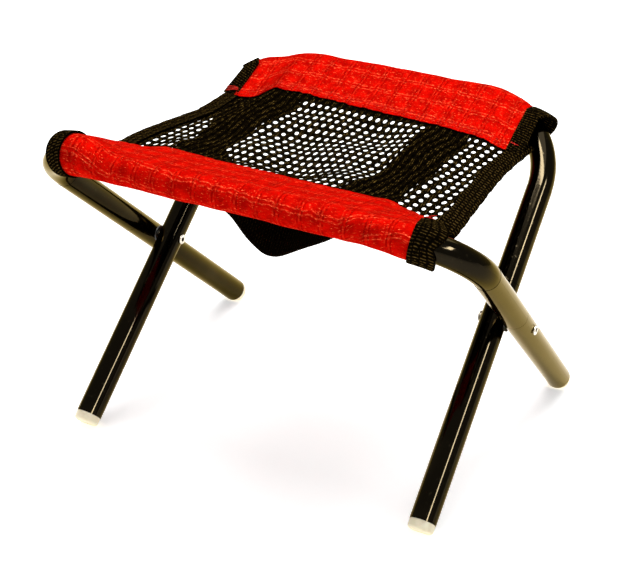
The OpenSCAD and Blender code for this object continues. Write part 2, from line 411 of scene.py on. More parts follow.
@dataclass(frozen=True)
class SewingThread:
    """Red polyester thread, twisted and a little shiny."""

    red: Colour = (0.70, 0.006, 0.002, 1.0)
    lit: Colour = (1.0, 0.05, 0.02, 1.0)
    twist: float = 0.5
    relief: float = 0.1

    def make(self) -> bpy.types.Material:
        """Makes the thread's material.

        Returns:
            The material.
        """
        graph = Graph("red_thread", {"Specular IOR Level": 0.06})
        along, across = graph.cloth()
        ply = (((along + across) / self.twist).fract() - 0.5).size() * 2.0
        fuzz = graph.noise(graph.flat(along, across), 2.0, 2.0)
        return graph.feed(
            # The crest of each ply is painted towards the lit red: a painted highlight.
            Base_Color=graph.mix(ply * fuzz, self.red, self.lit),
            Roughness=0.35 + fuzz * 0.2,
            Normal=graph.bump(ply, self.relief),
        )


@dataclass(frozen=True)
class Webbing:
    """Black woven webbing: columns of floats across its length, with a painted brown highlight on their
    tops.
    """

    name: str
    rib: float = 2.2
    column: float = 3.2
    lean: float = 0.25
    black: Colour = (0.0025, 0.0016, 0.0006, 1.0)
    highlight_brown: Colour = (0.098, 0.060, 0.015, 1.0)
    relief: float = 0.5

    def make(self) -> bpy.types.Material:
        """Makes the webbing's material.

        Returns:
            The material.
        """
        graph = Graph(self.name, {"Specular IOR Level": 0.0})
        along, across = graph.cloth()
        column = across / self.column
        place = column.fract() - 0.5
        odd = (column * 0.5).fract() > 0.5
        ribs = ((along / self.rib + place * self.lean + odd * 0.5).fract() - 0.5).size() * 2.0
        fuzz = graph.noise(graph.flat(along, across), 0.7)
        # The tops of the floats get a painted brown highlight, broken up by the fuzz.
        top = ribs.step(0.45, 0.9) * (1.0 - place.size().step(0.3, 0.46))
        return graph.feed(
            Base_Color=graph.mix(top * fuzz.step(0.4, 0.6), self.black, self.highlight_brown),
            Roughness=0.66 + fuzz * 0.25,
            Normal=graph.bump(top * 0.9 + fuzz * 0.4, self.relief),
        )


@dataclass(frozen=True)
class Knit:
    """Black knitted net, with a painted brown highlight where its yarn stands up."""

    black: Colour = (0.0025, 0.0016, 0.0006, 1.0)
    highlight_brown: Colour = (0.165, 0.101, 0.025, 1.0)
    ply: float = 1.5
    pitch: float = 6.1
    relief: float = 0.35

    def make(self) -> bpy.types.Material:
        """Makes the net's material.

        Returns:
            The material.
        """
        graph = Graph("black_knit", {"Specular IOR Level": 0.0})
        along, across = graph.cloth()
        flat = graph.flat(along, across)
        lean = (along + across * 0.16) / self.ply
        yarn = ((lean.fract() - 0.5).size() * 2.0).step(0.3, 0.85)
        column = 1.0 - (((along / self.pitch).fract() - 0.5).size() * 2.0).step(0.4, 0.66)
        fuzz = graph.noise(flat, 0.5)
        patch = graph.noise(flat, 0.19, 2.0).step(0.44, 0.6)
        # Painted highlight on the raised yarn of the columns, stronger in random patches.
        yarn_highlight = yarn * column * fuzz.step(0.4, 0.66) * (0.12 + patch * 0.88)
        return graph.feed(
            Base_Color=graph.mix(yarn_highlight, self.black, self.highlight_brown),
            Roughness=0.62 + fuzz * 0.25,
            Normal=graph.bump(yarn * 0.8 + fuzz * 0.4, self.relief),
        )


@dataclass(frozen=True)
class RivetMetal:
    """Plated rivet, dulled in places."""

    bright: Colour = (0.80, 0.75, 0.64, 1.0)
    dull: Colour = (0.46, 0.40, 0.30, 1.0)
    wear_scale: float = 500.0
    relief: float = 0.04

    def make(self) -> bpy.types.Material:
        """Makes the metal's material.

        Returns:
            The material.
        """
        graph = Graph("rivet_metal", {"Metallic": 1.0})
        wear = graph.noise(graph.place(), self.wear_scale)
        return graph.feed(
            Base_Color=graph.mix(wear.step(0.45, 0.7), self.bright, self.dull),
            Roughness=0.24 + wear * 0.2,
            Normal=graph.bump(wear, self.relief),
        )


@dataclass(frozen=True)
class MouldedPlastic:
    """Moulded plastic with a fine grain and some scuffs."""

    name: str
    clean: Colour
    scuffed: Colour
    grain_scale: float = 1400.0
    scuff_scale: float = 160.0
    relief: float = 0.03

    def make(self) -> bpy.types.Material:
        """Makes the plastic's material.

        Returns:
            The material.
        """
        graph = Graph(self.name, {"Subsurface Weight": 0.08})
        place = graph.place()
        grain = graph.noise(place, self.grain_scale, 2.0)
        scuff = graph.noise(place, self.scuff_scale).step(0.5, 0.7)
        return graph.feed(
            Base_Color=graph.mix(scuff * 0.5, self.clean, self.scuffed),
            Roughness=0.42 + grain * 0.15 + scuff * 0.1,
            Normal=graph.bump(grain + scuff * 0.6, self.relief),
        )


@dataclass(frozen=True)
class StudioFloor:
    """Plain pale floor, a little lit from within."""

    pale: Colour = (0.95, 0.95, 0.945, 1.0)
    shade: Colour = (0.935, 0.935, 0.93, 1.0)
    glow: float = 0.55

    def make(self) -> bpy.types.Material:
        """Makes the floor's material.

        Returns:
            The material.
        """
        graph = Graph("studio_floor", {"Specular IOR Level": 0.2, "Emission Strength": self.glow})
        cloud = graph.noise(graph.place(), 0.7)
        return graph.feed(
            Base_Color=graph.mix(cloud, self.pale, self.shade),
            Roughness=0.7 + cloud * 0.1,
            Emission_Color=self.pale,
        )


class Wardrobe:
    """The finished materials, one per finish of the stool."""

    def __init__(self) -> None:
        """Makes every material."""
        self.paint = TubePaint().make()
        self.ripstop = Ripstop().make()
        self.thread = SewingThread().make()
        self.webbing = Webbing("black_webbing").make()
        # A copy of the webbing with a dimmer painted highlight: painted shade, for pieces that lie in shade
        # under the seat.
        self.shaded = Webbing("shaded_webbing", highlight_brown=(0.026, 0.016, 0.005, 1.0)).make()
        self.tape = Webbing("black_tape", rib=4.0, column=4.2, lean=0.9).make()
        self.knit = Knit().make()
        self.rivet = RivetMetal().make()
        self.foot = MouldedPlastic("foot_plastic", (0.98, 0.88, 0.62, 1.0), (0.80, 0.66, 0.40, 1.0)).make()
        self.spacer = MouldedPlastic(
            "spacer_plastic", (0.012, 0.010, 0.007, 1.0), (0.05, 0.04, 0.025, 1.0)
        ).make()


# Meshes


def smooth(value: Array | float, low: float, high: float) -> Any:
    """A smooth step from 0 at low to 1 at high, for numbers or arrays."""
    share = np.clip((np.asarray(value, float) - low) / (high - low), 0.0, 1.0)
    return share * share * (3.0 - 2.0 * share)


def ripple(first: Any, second: Any, seed: float) -> Any:
    """A fixed uneven wave from about -1 to 1, over two coordinates in millimetres.

    Args:
        first: First coordinate, a number or an array.
        second: Second coordinate, a number or an array.
        seed: Shifts the wave, so that two pieces differ.

    Returns:
        The wave's height.
    """
    first, second = np.asarray(first, float), np.asarray(second, float)
    return (
        np.sin(first * 0.071 + second * 0.043 + seed)
        + 0.7 * np.sin(first * 0.137 - second * 0.091 + 2.3 * seed)
        + 0.5 * np.sin(first * 0.263 + second * 0.187 + 4.1 * seed)
    ) / 2.2


def lengths(path: Array) -> Array:
    """Length along a path up to each of its points."""
    return np.concatenate([[0.0], np.cumsum(np.linalg.norm(np.diff(path, axis=0), axis=1))])


class Cloth:
    """Builds the meshes of soft pieces from points in millimetres.

    A thread's tip is a share of its radius, and aside is a direction in which no thread runs.
    """

    thread_sides: int = 5
    thread_tip: float = 0.2
    thread_aside: Point = (0.31, 0.17, 0.93)

    @staticmethod
    def piece(
        name: str, points: Array, faces: Sequence[Sequence[int]], flat: Array,
        finish: bpy.types.Material, crease: float = 50.0,
    ) -> bpy.types.Object:
        """Makes an object from points and faces.

        Args:
            name: Name of the piece.
            points: Points in millimetres, one row each.
            faces: Point numbers of each face.
            flat: Where each point lies on the cloth as it was cut, in millimetres.
            finish: Material of the piece.
            crease: Angle between faces above which an edge stays sharp, in degrees.

        Returns:
            The object.
        """
        mesh = bpy.data.meshes.new(name)
        mesh.from_pydata((points * MM).tolist(), [], [list(face) for face in faces])
        layer = mesh.uv_layers.new(name=CLOTH_MAP)
        corners = np.zeros(len(mesh.loops), np.int32)
        mesh.loops.foreach_get("vertex_index", corners)
        layer.data.foreach_set("uv", (flat[corners] * MM).astype(np.float32).ravel())
        mesh.polygons.foreach_set("use_smooth", np.ones(len(mesh.polygons), bool))
        mesh.set_sharp_from_angle(angle=math.radians(crease))
        mesh.materials.append(finish)
        made = bpy.data.objects.new(name, mesh)
        bpy.context.scene.collection.objects.link(made)
        return made

    @staticmethod
    def normals(mid: Array) -> Array:
        """Unit normals of a grid of points."""
        normal = np.cross(np.gradient(mid, axis=0), np.gradient(mid, axis=1))
        return normal / np.maximum(np.linalg.norm(normal, axis=2, keepdims=True), 1e-9)

    @classmethod
    def sheet(
        cls, name: str, mid: Array, flat: Array, thick: float, finish: bpy.types.Material
    ) -> bpy.types.Object:
        """Makes a sheet of even thickness from the grid of its middle surface.

        Args:
            name: Name of the piece.
            mid: Grid of points of the middle surface, in millimetres.
            flat: Grid of places on the cloth as it was cut, in millimetres.
            thick: Thickness in millimetres.
            finish: Material of the piece.

        Returns:
            The object.
        """
        offset = cls.normals(mid) * (thick / 2)
        points = np.concatenate([(mid + offset).reshape(-1, 3), (mid - offset).reshape(-1, 3)])
        grid = np.arange(mid[:, :, 0].size).reshape(mid.shape[:2])
        corners = [grid[:-1, :-1], grid[1:, :-1], grid[1:, 1:], grid[:-1, 1:]]
        upper = np.stack(corners, axis=2).reshape(-1, 4)
        lower = grid.size + upper[:, ::-1]
        rim = np.concatenate([grid[:, 0], grid[-1, 1:], grid[-2::-1, -1], grid[0, -2:0:-1]])
        ahead = np.roll(rim, -1)
        edge = np.stack([ahead, rim, grid.size + rim, grid.size + ahead], axis=1)
        faces = np.concatenate([upper, lower, edge])
        return cls.piece(name, points, faces, np.tile(flat.reshape(-1, 2), (2, 1)), finish)

    @classmethod
    def threads(
        cls, name: str, paths: Sequence[Array], radius: float, finish: bpy.types.Material
    ) -> bpy.types.Object:
        """Makes thin round threads along paths, drawn to a point at both ends.

        Args:
            name: Name of the piece.
            paths: Points along each thread, in millimetres.
            radius: Radius of a thread in millimetres.
            finish: Material of the piece.

        Returns:
            All the threads as one piece.
        """
        points, faces, flat = [], [], []
        sides = cls.thread_sides
        turns = np.linspace(0, 2 * math.pi, sides, endpoint=False)
        for path in paths:
            first, last = len(points), len(path) - 1
            for k, (here, run) in enumerate(zip(path, lengths(path))):
                ahead = path[min(k + 1, last)] - path[max(k - 1, 0)]
                ahead = ahead / np.linalg.norm(ahead)
                side = np.cross(ahead, cls.thread_aside)
                side /= np.linalg.norm(side)
                top = np.cross(side, ahead)
                wide = radius * (cls.thread_tip if k in (0, last) else 1.0)
                for turn in turns:
                    points.append(here + (side * math.cos(turn) + top * math.sin(turn)) * wide)
                    flat.append((run, radius * turn))
            for k in range(last):
                for j in range(sides):
                    a, b = first + k * sides + j, first + k * sides + (j + 1) % sides
                    faces.append((a, b, b + sides, a + sides))
            faces.append(tuple(first + j for j in reversed(range(sides))))
            faces.append(tuple(first + last * sides + j for j in range(sides)))
        return cls.piece(name, np.array(points), faces, np.array(flat), finish)


# Shapes that the soft pieces follow


@dataclass(frozen=True)
class BarLine:
    """Centre line of a seat bar and its two bends."""

    end: End
    half_w: float
    rise: float
    bend_r: float
    arm_len: float = 166.5
    lean: float = 48.2
    pivot_z: float = 108.895

    @property
    def straight(self) -> float:
        """Half the length of the bar's straight middle."""
        corner = self.half_w + self.arm_len * math.tan(math.radians(self.rise))
        return corner - self.bend_r * math.tan(math.radians(45 + self.rise / 2))

    @property
    def up(self) -> Array:
        """Direction from the pivot to the bar, in the frame's plane."""
        lean = math.radians(self.lean)
        return np.array([0.0, self.end * math.sin(lean), math.cos(lean)])

    @property
    def inward(self) -> Array:
        """Direction across the frame's plane, up and to the seat."""
        lean = math.radians(self.lean)
        return np.array([0.0, -self.end * math.cos(lean), math.sin(lean)])

    def at(self, run: float) -> tuple[Array, Array, Array, Array]:
        """The line at a run from the bar's middle.

        Args:
            run: Signed length along the line from the middle of the bar.

        Returns:
            The point, and the directions out of the bend, inward and along.
        """
        sign = math.copysign(1.0, run)
        turn = max(0.0, abs(run) - self.straight) / self.bend_r
        side = np.array([sign, 0.0, 0.0])
        out = math.cos(turn) * self.up + math.sin(turn) * side
        along = math.cos(turn) * side - math.sin(turn) * self.up
        start = np.array([0.0, 0.0, self.pivot_z]) + self.up * (self.arm_len - self.bend_r)
        middle = start + side * min(abs(run), self.straight)
        return middle + out * self.bend_r, out, self.inward, along * sign


@dataclass(frozen=True)
class SeatShape:
    """The seat's cloth as it hangs open between the bars."""

    front_edge: float = -72.0
    rear_edge: float = 78.0
    front_z: float = 217.0
    middle_z: float = 209.9
    rear_z: float = 210.6
    rear_tilt: float = -0.022
    front_slope: float = -0.27
    rear_slope: float = 0.36
    ease: float = 25.0
    wave: float = 1.9
    sag: float = 4.5
    sag_x: float = -7.5
    sag_w: float = 54.0
    left_side: Outline = (
        (-125, 127), (-70, 127), (-46, 128.5), (-20, 127), (2, 125), (24, 123), (56, 127), (69, 129.5),
        (125, 130),
    )
    right_side: Outline = (
        (-125, 141), (-92, 139), (-80, 138), (-50, 133.5), (-27, 130.3), (0, 126.5), (30, 123), (53, 121.8),
        (125, 121),
    )
    side_z: tuple[float, float] = (207.9, 206.5)
    side_fall: tuple[float, float] = (0.0765, 0.05)
    side_from: float = 84.0
    side_to: float = 108.0

    def half_w(self, side: Side, y: Any) -> Any:
        """Distance of a side edge from the middle, at a place from front to back."""
        place, reach = zip(*(self.left_side if side is Side.LEFT else self.right_side))
        return np.interp(np.asarray(y, float), place, reach)

    def height(self, x: Any, y: Any) -> Any:
        """Height of the cloth over the floor.

        Args:
            x: Place across the seat.
            y: Place from front to back.

        Returns:
            The height, as a number or an array.
        """
        x, y = np.asarray(x, float), np.asarray(y, float)
        rear_z = self.rear_z + self.rear_tilt * x
        near = np.clip(y / self.front_edge, 0, 1) ** 2 * (self.front_z - self.middle_z)
        far = np.clip(y / self.rear_edge, 0, 1) ** 2 * (rear_z - self.middle_z)
        past = np.minimum(y - self.front_edge, 0) * self.front_slope
        past = past + np.maximum(y - self.rear_edge, 0) * self.rear_slope
        free = smooth(y, self.front_edge, self.front_edge + self.ease)
        free = free * (1 - smooth(y, self.rear_edge - self.ease, self.rear_edge))
        waves = np.sin(x * 0.092 + y * 0.05 + 0.6) + 0.5 * np.sin(x * 0.05 - y * 0.09 + 1.0)
        hollow = (1 - np.clip((x - self.sag_x) / self.sag_w, -1, 1) ** 2) ** 2
        middle = self.middle_z + near + far + past + (waves * self.wave - hollow * self.sag) * free
        share = smooth(np.abs(x), self.side_from, self.side_to)
        left = x < 0
        side = np.where(left, *self.side_z) - np.where(left, *self.side_fall) * y
        return middle * (1 - share) + side * share


@dataclass(frozen=True)
class Channel:
    """A sewn channel round a seat bar: over the bar, round it and back under to the seam.

    Its upper edge lies lift over the seat, and its lower edge drop under it and tuck short of the seam. It
    stands off its bar by gape and sags by hang. slant leans one end, and crumple is the height of its waves,
    which are calm near both edges and no deeper than sink.
    """

    bar: BarLine
    seat: SeatShape
    radius: float
    run: tuple[float, float]
    seam: Callable[[float], tuple[float, float]]
    gape: Callable[[float], float]
    hang: Callable[[float], float]
    lift: float
    drop: float
    crumple: float
    seed: float
    step: float
    tuck: float = 0.0
    slant: float = 0.0
    slant_over: tuple[float, float] = (0.3, 0.65)
    gape_out: float = 0.6
    gape_in: float = 0.8
    calm: float = 12.0
    sink: float = 0.25
    tail_points: int = 20
    ring_points: int = 34

    def profile(self, run: float) -> Array:
        """The channel's section at a run along its bar, from the upper edge to the lower one.

        Args:
            run: Signed length along the bar's line from its middle.

        Returns:
            The points of the section.
        """
        centre, out, inward, along = self.bar.at(run)
        axes = np.array([out, inward, along])
        gape, hang = self.gape(run), self.hang(run)
        centre = centre + (out * self.gape_out + inward * self.gape_in) * gape - np.array([0.0, 0.0, hang])
        radius = self.radius + gape + hang
        x, y = self.seam(run)
        z = float(self.seat.height(x, y))
        edges, angles = [], []
        for rise, back, turn in ((self.lift, 0.0, -1.0), (-self.drop, self.bar.end * self.tuck, 1.0)):
            edge = axes @ (np.array([x, y + back, z + rise]) - centre)
            reach = math.hypot(edge[0], edge[1])
            edges.append(edge)
            angles.append(math.atan2(edge[1], edge[0]) + turn * math.acos(min(1.0, radius / reach)))
        sweep = np.linspace(angles[0], angles[1] - 2 * math.pi, self.ring_points)
        ring = radius * np.stack([np.cos(sweep), np.sin(sweep), np.zeros(self.ring_points)], axis=1)
        to_bar = np.linspace(0, 1, self.tail_points, endpoint=False)[:, None]
        to_seam = np.linspace(0, 1, self.tail_points)[1:, None]
        upper = edges[0] * (1 - to_bar) + ring[0] * to_bar
        lower = ring[-1] * (1 - to_seam) + edges[1] * to_seam
        return centre + np.concatenate([upper, ring, lower]) @ axes

    def grid(self) -> tuple[Array, Array]:
        """The channel's middle surface.

        Returns:
            The grid of points, and the grid of places on the cloth as it was cut.
        """
        low, high = self.run
        runs = np.linspace(low, high, int((high - low) / self.step) + 1)
        mid = np.array([self.profile(float(run)) for run in runs])
        if self.slant:
            lean = self.slant * (smooth(np.linspace(0, 1, mid.shape[1]), *self.slant_over) - 0.5)
            for row, run in enumerate(runs):
                share = (abs(run) - min(map(abs, self.run))) / (high - low)
                for spot, shift in enumerate(lean):
                    mid[row, spot] = self.profile(float(run + math.copysign(shift * share, run)))[spot]
        across = np.array([lengths(section) for section in mid])
        along = np.repeat(runs[:, None], mid.shape[1], axis=1)
        push = np.maximum(ripple(along, across, self.seed) * self.crumple, -self.sink)
        free = smooth(across, 0, self.calm)
        free = free * smooth(across.max(axis=1, keepdims=True) - across, 0, self.calm)
        mid = mid - Cloth.normals(mid) * (push * free)[:, :, None]
        return mid, np.stack([along, across], axis=2)


# What the frame is told of each soft piece


def sew(
    piece: bpy.types.Object, slot: Slot, nodes: Sequence[str], size: tuple[float, float], held: Held,
    rests_on: Sequence[str], **more: Any,
) -> None:
    """Hides the solids that a piece of cloth replaces.

    Args:
        piece: The cloth; not used.
        slot: Its material slot; not used.
        nodes: Solids that it replaces.
        size: Width and length of the flat cloth, in millimetres.
        held: How it is held; not used.
        rests_on: Names of what it lies on or hangs from; not used.
        **more: The pieces on it, or its flat area in square metres; not used.
    """
    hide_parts(*nodes)
    size[0] * MM
    size[1] * MM


def ride_seat(piece: bpy.types.Object, end: End) -> None:
    """Lets slack cloth move with its half of the seat.

    Args:
        piece: The cloth.
        end: The half of the seat that it belongs to.
    """
    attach(piece, end.body.value)
    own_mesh(piece)


@dataclass(frozen=True)
class HingeBand:
    """Where cloth turns from a frame to its half of the seat."""

    frame: Body
    seat: Body
    start_y: float
    end_y: float

    def hold(self, piece: bpy.types.Object) -> None:
        """Bakes a piece's placing into its mesh."""
        self.start_y * MM
        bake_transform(piece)


# Soft pieces


@dataclass(frozen=True)
class StitchRow:
    """Machine stitches along a path: short threads that dip at both ends."""

    length: float = 2.7
    gap: float = 0.8
    dip: float = 0.35
    knees: tuple[float, ...] = (0.0, 0.2, 0.8, 1.0)

    def paths(self, line: Array) -> list[Array]:
        """The stitches along a line.

        Args:
            line: Points that the row follows.

        Returns:
            The points of each stitch.
        """
        run = lengths(line)
        made = []
        start = self.gap
        while start + self.length < run[-1]:
            spots = start + self.length * np.array(self.knees)
            stitch = np.stack([np.interp(spots, run, line[:, k]) for k in range(3)], axis=1)
            stitch[[0, -1], 2] -= self.dip
            made.append(stitch)
            start += self.length + self.gap
        return made


@dataclass(frozen=True)
class Fray:
    """Loose threads at a cut corner of a cover."""

    count: int
    length: float = 9.0
    spread: float = 0.8
    pitch: float = 0.9
    points: int = 6

    def paths(self, corner: Array, out: Array, seed: float) -> list[Array]:
        """The loose threads.

        Args:
            corner: Where the threads leave the cloth.
            out: Unit direction in which they point.
            seed: Shifts their unevenness.

        Returns:
            The points of each thread.
        """
        side = np.cross(out, [0.0, 0.0, 1.0])
        t = np.linspace(0.0, 1.0, self.points)[:, None]
        made = []
        for k in range(self.count):
            swing = float(ripple(37.0 * k, 11.0 * k, seed)) * self.spread
            bend = float(ripple(53.0 * k, 7.0 * k, seed + 1.0))
            reach = self.length * (0.7 + 0.4 * math.sin(2.1 * k + seed))
            root = corner + side * (k - self.count / 2) * self.pitch
            path = root + out * reach * t + side * reach * (swing * t + bend * 0.5 * t * t)
            path[:, 2:] += 0.5 + 1.2 * np.sin(t * 2.6) * abs(bend)
            made.append(path)
        return made


@dataclass(frozen=True)
class Cover:
    """One red cover: a channel round its bar, with a raw edge sewn to the seat."""

    wardrobe: Wardrobe
    end: End
    bar: BarLine
    seat: SeatShape
    band: HingeBand
    edge: Outline
    reach: dict[Side, float]
    edge_half_w: dict[Side, float]
    loose: dict[Side, float]
    loose_run: float
    fray: dict[Side, int]
    slack: float = 0.0
    slack_from: float = 92.0
    slack_to: float = 126.0
    pull_run: float = 34.0
    radius: float = 10.05
    thick: float = 0.5
    edge_wave: float = 0.8
    stitch_in: tuple[float, ...] = (2.6, 6.4)
    thread_r: float = 0.36
    fray_spot: int = 4
    fray_way: tuple[float, float] = (0.9, 0.44)

    def seam(self, run: float) -> tuple[float, float]:
        """Where the cover's edge lies on the seat, at a run along the bar.

        Args:
            run: Signed length along the bar's line from its middle.

        Returns:
            The place across the seat, and from front to back.
        """
        side = Side.of(run)
        x = float(self.bar.at(run)[0][0])
        widest = float(self.bar.at(self.reach[side])[0][0])
        pull = (widest - self.edge_half_w[side]) * float(smooth(abs(x), widest - self.pull_run, widest))
        wave = float(ripple(run * 3.1, 0.0, 1.7 + self.end) + 0.7 * ripple(run * 9.0, 0.0, 0.3))
        return x - side * pull, float(np.interp(x, *zip(*self.edge))) + self.edge_wave * wave

    def gape(self, run: float) -> float:
        """How far the channel stands off its bar, at a run along the bar."""
        reach = self.reach[Side.of(run)]
        return self.loose[Side.of(run)] * float(smooth(abs(run), reach - self.loose_run, reach))

    def hang(self, run: float) -> float:
        """How far the channel hangs slack below its bar, at a run along the bar."""
        return self.slack * float(smooth(run, self.slack_from, self.slack_to))

    def build(self) -> list[bpy.types.Object]:
        """Builds and dresses the cover and its seams.

        Returns:
            The cover, and its threads as one piece.
        """
        channel = Channel(
            self.bar, self.seat, self.radius, (-self.reach[Side.LEFT], self.reach[Side.RIGHT]),
            self.seam, self.gape, self.hang,
            lift=1.7, drop=2.2, crumple=0.5, seed=2.0 + self.end, step=2.0, tuck=7.0,
        )
        mid, flat = channel.grid()
        cover = Cloth.sheet(f"{self.end.label}_cover", mid, flat, self.thick, self.wardrobe.ripstop)
        seams = self.stitches(mid, flat)
        nodes = [f"{self.end.label}_{part}" for part in ("sleeve", "flap")]
        size = (sum(self.reach.values()), float(flat[:, -1, 1].mean()))
        sew(cover, Slot.RED, nodes, size, Held.STRETCHED, [self.end.tube], with_pieces=[seams])
        for piece in (cover, seams):
            self.band.hold(piece)
        return [cover, seams]

    def stitches(self, mid: Array, flat: Array) -> bpy.types.Object:
        """The rows of stitches along the cover's raw edge, and the loose threads at its corners.

        Args:
            mid: Grid of the cover's middle surface.
            flat: Grid of its places on the flat cloth.

        Returns:
            The threads as one piece.
        """
        top = mid + Cloth.normals(mid) * (self.thick / 2)
        rows = np.arange(len(mid))
        paths = []
        for inset in self.stitch_in:
            spot = np.array([np.interp(inset, row[:, 1], np.arange(len(row))) for row in flat])
            low = spot.astype(int)
            part = (spot - low)[:, None]
            paths += StitchRow().paths(top[rows, low] * (1 - part) + top[rows, low + 1] * part)
        for row, side in ((0, Side.LEFT), (-1, Side.RIGHT)):
            out = np.array([side * self.fray_way[0], -self.end * self.fray_way[1], 0.0])
            paths += Fray(self.fray[side]).paths(top[row, self.fray_spot], out, 1.3 * side + self.end)
        return Cloth.threads(f"{self.end.label}_stitches", paths, self.thread_r, self.wardrobe.thread)


@dataclass(frozen=True)
class Binding:
    """A webbing loop that binds one end of a cover and hugs the tube where it leaves."""

    cover: Cover
    side: Side
    width: float
    tail_y: float
    tail_x: tuple[float, float]
    loose: float
    slant: float = 0.0
    lap: float = 2.5
    radius: float = 11.4
    thick: float = 1.3

    def share(self, run: float) -> float:
        """How far across the loop a run along the bar lies, from 0 to 1."""
        return (abs(run) - self.cover.reach[self.side] + self.lap) / (self.width + self.lap)

    def seam(self, run: float) -> tuple[float, float]:
        """Where the loop's tail lies on the seat, at a run along the bar."""
        inner, outer = self.tail_x
        return self.side * (inner + (outer - inner) * self.share(run)), self.tail_y

    def gape(self, run: float) -> float:
        """How far the loop stands off its bar, at a run along the bar."""
        start = self.cover.loose[self.side]
        return start + (self.loose - start) * self.share(run)

    def build(self) -> bpy.types.Object:
        """Builds and dresses the loop.

        Returns:
            The piece.
        """
        cover, reach = self.cover, self.cover.reach[self.side]
        near, far = reach - self.lap, reach + self.width
        run = (near, far) if self.side is Side.RIGHT else (-far, -near)
        channel = Channel(
            cover.bar, cover.seat, self.radius, run, self.seam, self.gape, cover.hang,
            lift=2.2, drop=3.2, crumple=0.3, seed=3.0 + self.side, step=1.5, slant=self.slant,
            tail_points=12,
        )
        mid, flat = channel.grid()
        end, side = cover.end.label, self.side.label
        loop = Cloth.sheet(
            f"{end}_binding_{side}", mid, flat[:, :, ::-1], self.thick, cover.wardrobe.webbing
        )
        width = float(np.linalg.norm(np.diff(mid, axis=0), axis=2).sum(axis=0).mean())
        size = (width, float(flat[:, -1, 1].mean()))
        sew(loop, Slot.WEBBING, [f"{end}_loop_{side}"], size, Held.STRETCHED, [cover.end.tube])
        cover.band.hold(loop)
        return loop


@dataclass(frozen=True)
class NetHalf:
    """Half of the net: knitted columns and links round open gaps, plain at its hems."""

    wardrobe: Wardrobe
    end: End
    seat: SeatShape
    hem_y: float
    pitch_x: float = 6.1
    pitch_y: float = 9.2
    rows: int = 10
    gap_w: float = 2.7
    gap_l: float = 4.85
    ridge: float = 0.62
    link: float = 0.42
    round_in: float = 0.55
    round_z: float = 0.85
    hem_z: float = 0.7
    tape_w: float = 13.5
    edge_in: float = 2.5
    wander: float = 0.5
    wander_from: float = 60.0
    wander_to: float = 74.0
    yarn_share: float = 0.8
    crease: float = 75.0

    def ring(self, cx: float, cy: float) -> tuple[Array, Array]:
        """The border and the gap of one cell, fourteen points each.

        Args:
            cx: Middle of the cell across the seat.
            cy: Middle of the cell from front to back.

        Returns:
            The border's points and the gap's points on the flat cloth.
        """
        w, l = self.pitch_x / 2, self.pitch_y / 2
        half = [(w, 0), (w, l / 2), (w, l), (w / 3, l), (-w / 3, l), (-w, l), (-w, l / 2)]
        border = np.array(half + [(-x, -y) for x, y in half])
        angle = np.arctan2(border[:, 1] / l, border[:, 0] / w)
        gap = np.stack([self.gap_w / 2 * np.cos(angle), self.gap_l / 2 * np.sin(angle)], axis=1)
        return border + (cx, cy), gap + (cx, cy)

    def build(self) -> bpy.types.Object:
        """Builds and dresses this half of the net.

        Returns:
            The piece.
        """
        flat, height, faces = [], [], []
        for row in range(self.rows):
            cy = self.end * (row + 0.5) * self.pitch_y
            room = {side: float(self.seat.half_w(side, cy)) - self.edge_in for side in Side}
            first, last = (int(room[side] / self.pitch_x - 0.5) for side in Side)
            for column in range(-first, last + 1):
                cx = column * self.pitch_x
                inside = room[Side.of(column)] - self.tape_w + self.pitch_x / 2
                plain = abs(cy) > self.hem_y or abs(cx) > inside
                self.cell(*self.ring(cx, cy), plain, flat, height, faces)
        flat, height = np.array(flat), np.array(height)
        x, y = flat.T * 2
        drift = np.stack([ripple(x, y, 0.4), ripple(y, x, 2.9)], axis=1)
        free = 1 - smooth(np.abs(flat[:, 1]), self.wander_from, self.wander_to)
        moved = flat + self.wander * drift * free[:, None]
        points = np.column_stack([moved, self.seat.height(*moved.T) + height])
        key = np.round(np.column_stack([flat, height * 10]), 3)
        _, first, back = np.unique(key, axis=0, return_index=True, return_inverse=True)
        back = back.ravel()
        faces = [back[list(face)] for face in faces]
        node = f"{self.end.label}_net"
        net = Cloth.piece(
            f"{node}_cloth", points[first], faces, flat[first], self.wardrobe.knit, self.crease
        )
        width = sum(float(self.seat.half_w(side, 0)) for side in Side)
        length = self.rows * self.pitch_y
        area = width * length * self.yarn_share * MM * MM
        sew(net, Slot.NET, [node], (width, length), Held.STRETCHED, [f"{self.end.label}_cover"], area=area)
        ride_seat(net, self.end)
        return net

    def cell(
        self, border: Array, gap: Array, plain: bool, flat: list, height: list, faces: list
    ) -> None:
        """Adds one cell of the knit.

        Args:
            border: The cell's border on the flat cloth.
            gap: The cell's gap on the flat cloth.
            plain: Whether the gap is closed, as in a hem.
            flat: Places on the flat cloth, added to.
            height: Heights over the cloth, added to.
            faces: Faces, added to.
        """
        middle = border.mean(axis=0)
        across = np.abs(border[:, 0] - middle[0])
        crest = np.where(across > across.max() - 1e-6, self.ridge, self.link)
        if plain:
            inner, level = (border + middle) / 2, crest * self.hem_z
            rings = [(border, crest), (inner, level), (inner, -level), (border, -crest)]
            pairs = [(0, 1), (2, 3)]
        else:
            inner, level = border + (gap - border) * self.round_in, crest * self.round_z
            rings = [(border, crest), (inner, level), (gap, crest * 0), (inner, -level), (border, -crest)]
            pairs = [(0, 1), (1, 2), (2, 3), (3, 4)]
        number = len(flat) + np.arange(len(rings) * len(border)).reshape(len(rings), -1)
        ahead = np.roll(number, -1, axis=1)
        for ring, level in rings:
            flat.extend(map(tuple, ring))
            height.extend(level)
        for a, b in pairs:
            faces.extend(zip(number[a], ahead[a], ahead[b], number[b]))
        if plain:
            faces.extend([number[1], number[2][::-1]])


